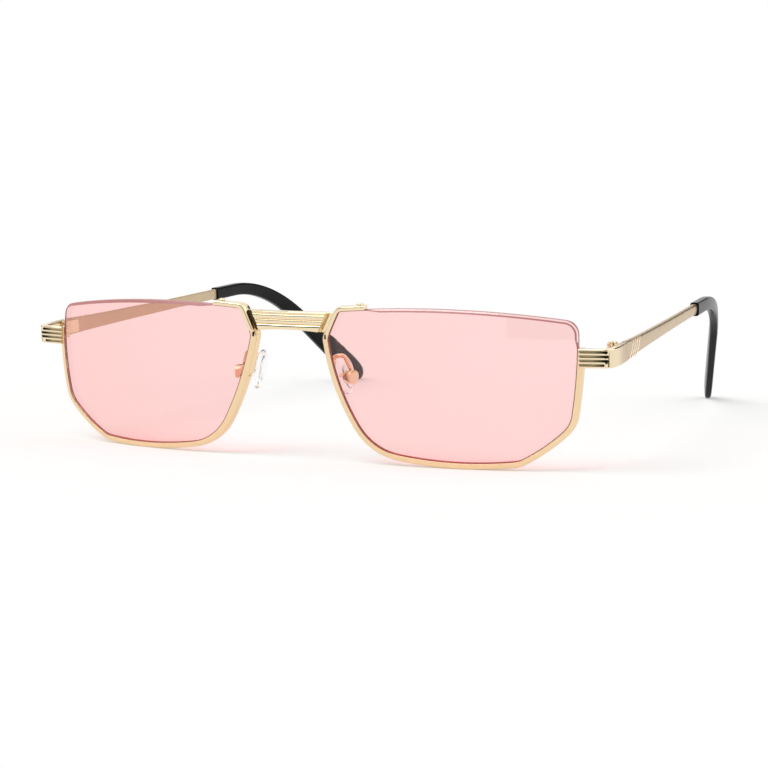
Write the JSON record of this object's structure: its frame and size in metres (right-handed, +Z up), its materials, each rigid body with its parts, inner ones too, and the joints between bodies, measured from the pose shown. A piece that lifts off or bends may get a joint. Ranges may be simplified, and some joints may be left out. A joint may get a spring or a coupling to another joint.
{
  "type": "narrow rectangle sunglasses",
  "caption": "Half-rim sunglasses with narrow angular tinted lenses, a ribbed metal bridge, folding flat temples with black tips and rocking nose pads.",
  "frame": {"origin": "centre of the overall box on the floor, with the temples open", "axes": "+X to the wearer's left, +Y from the lenses to the ears, +Z up"},
  "size_m": [0.1428, 0.154, 0.0355],
  "materials": {
    "gold_metal": "polished pale gold plating",
    "screw_metal": "polished pale gold plating",
    "tinted_lens": "clear pink tint, polished",
    "black_tip": "glossy black",
    "clear_pad": "clear soft plastic"
  },
  "bodies": {
    "front": {"bridge": "gold_metal", "top_strap_left": "gold_metal", "strap_screw_left": "screw_metal", "rim_left": "gold_metal", "lens_left": "tinted_lens", "endpiece_left": "gold_metal", "hinge_front_leaf_left": "gold_metal", "hinge_screw_left": "screw_metal", "pad_arm_left": "gold_metal", "pad_box_left": "gold_metal", "pad_screw_left": "screw_metal", "top_strap_right": "gold_metal", "strap_screw_right": "screw_metal", "rim_right": "gold_metal", "lens_right": "tinted_lens", "endpiece_right": "gold_metal", "hinge_front_leaf_right": "gold_metal", "hinge_screw_right": "screw_metal", "pad_arm_right": "gold_metal", "pad_box_right": "gold_metal", "pad_screw_right": "screw_metal"},
    "temple_arm_left": {"temple_left": "gold_metal", "hinge_temple_leaf_left": "gold_metal", "temple_tip_left": "black_tip"},
    "temple_arm_right": {"temple_right": "gold_metal", "hinge_temple_leaf_right": "gold_metal", "temple_tip_right": "black_tip"},
    "pad_left": {"nose_pad_left": "clear_pad", "pad_insert_left": "gold_metal"},
    "pad_right": {"nose_pad_right": "clear_pad", "pad_insert_right": "gold_metal"}
  },
  "joints": [
    {"name": "temple_fold_left", "type": "hinge", "parent": "front", "child": "temple_arm_left", "pos_m": [0.0684, -0.05926, 0.02521], "axis": [0, -0.0593, 0.9982], "range_deg": [0, 85]},
    {"name": "temple_fold_right", "type": "hinge", "parent": "front", "child": "temple_arm_right", "pos_m": [-0.0684, -0.05926, 0.02521], "axis": [0, 0.0593, -0.9982], "range_deg": [0, 79]},
    {"name": "nose_pad_rock_left", "type": "hinge", "parent": "front", "child": "pad_left", "pos_m": [0.01337, -0.07235, 0.01888], "axis": [0.309, 0.9485, 0.0696], "range_deg": [-10, 10]},
    {"name": "nose_pad_rock_right", "type": "hinge", "parent": "front", "child": "pad_right", "pos_m": [-0.01337, -0.07235, 0.01888], "axis": [0.309, -0.9485, -0.0696], "range_deg": [-10, 10]}
  ]
}
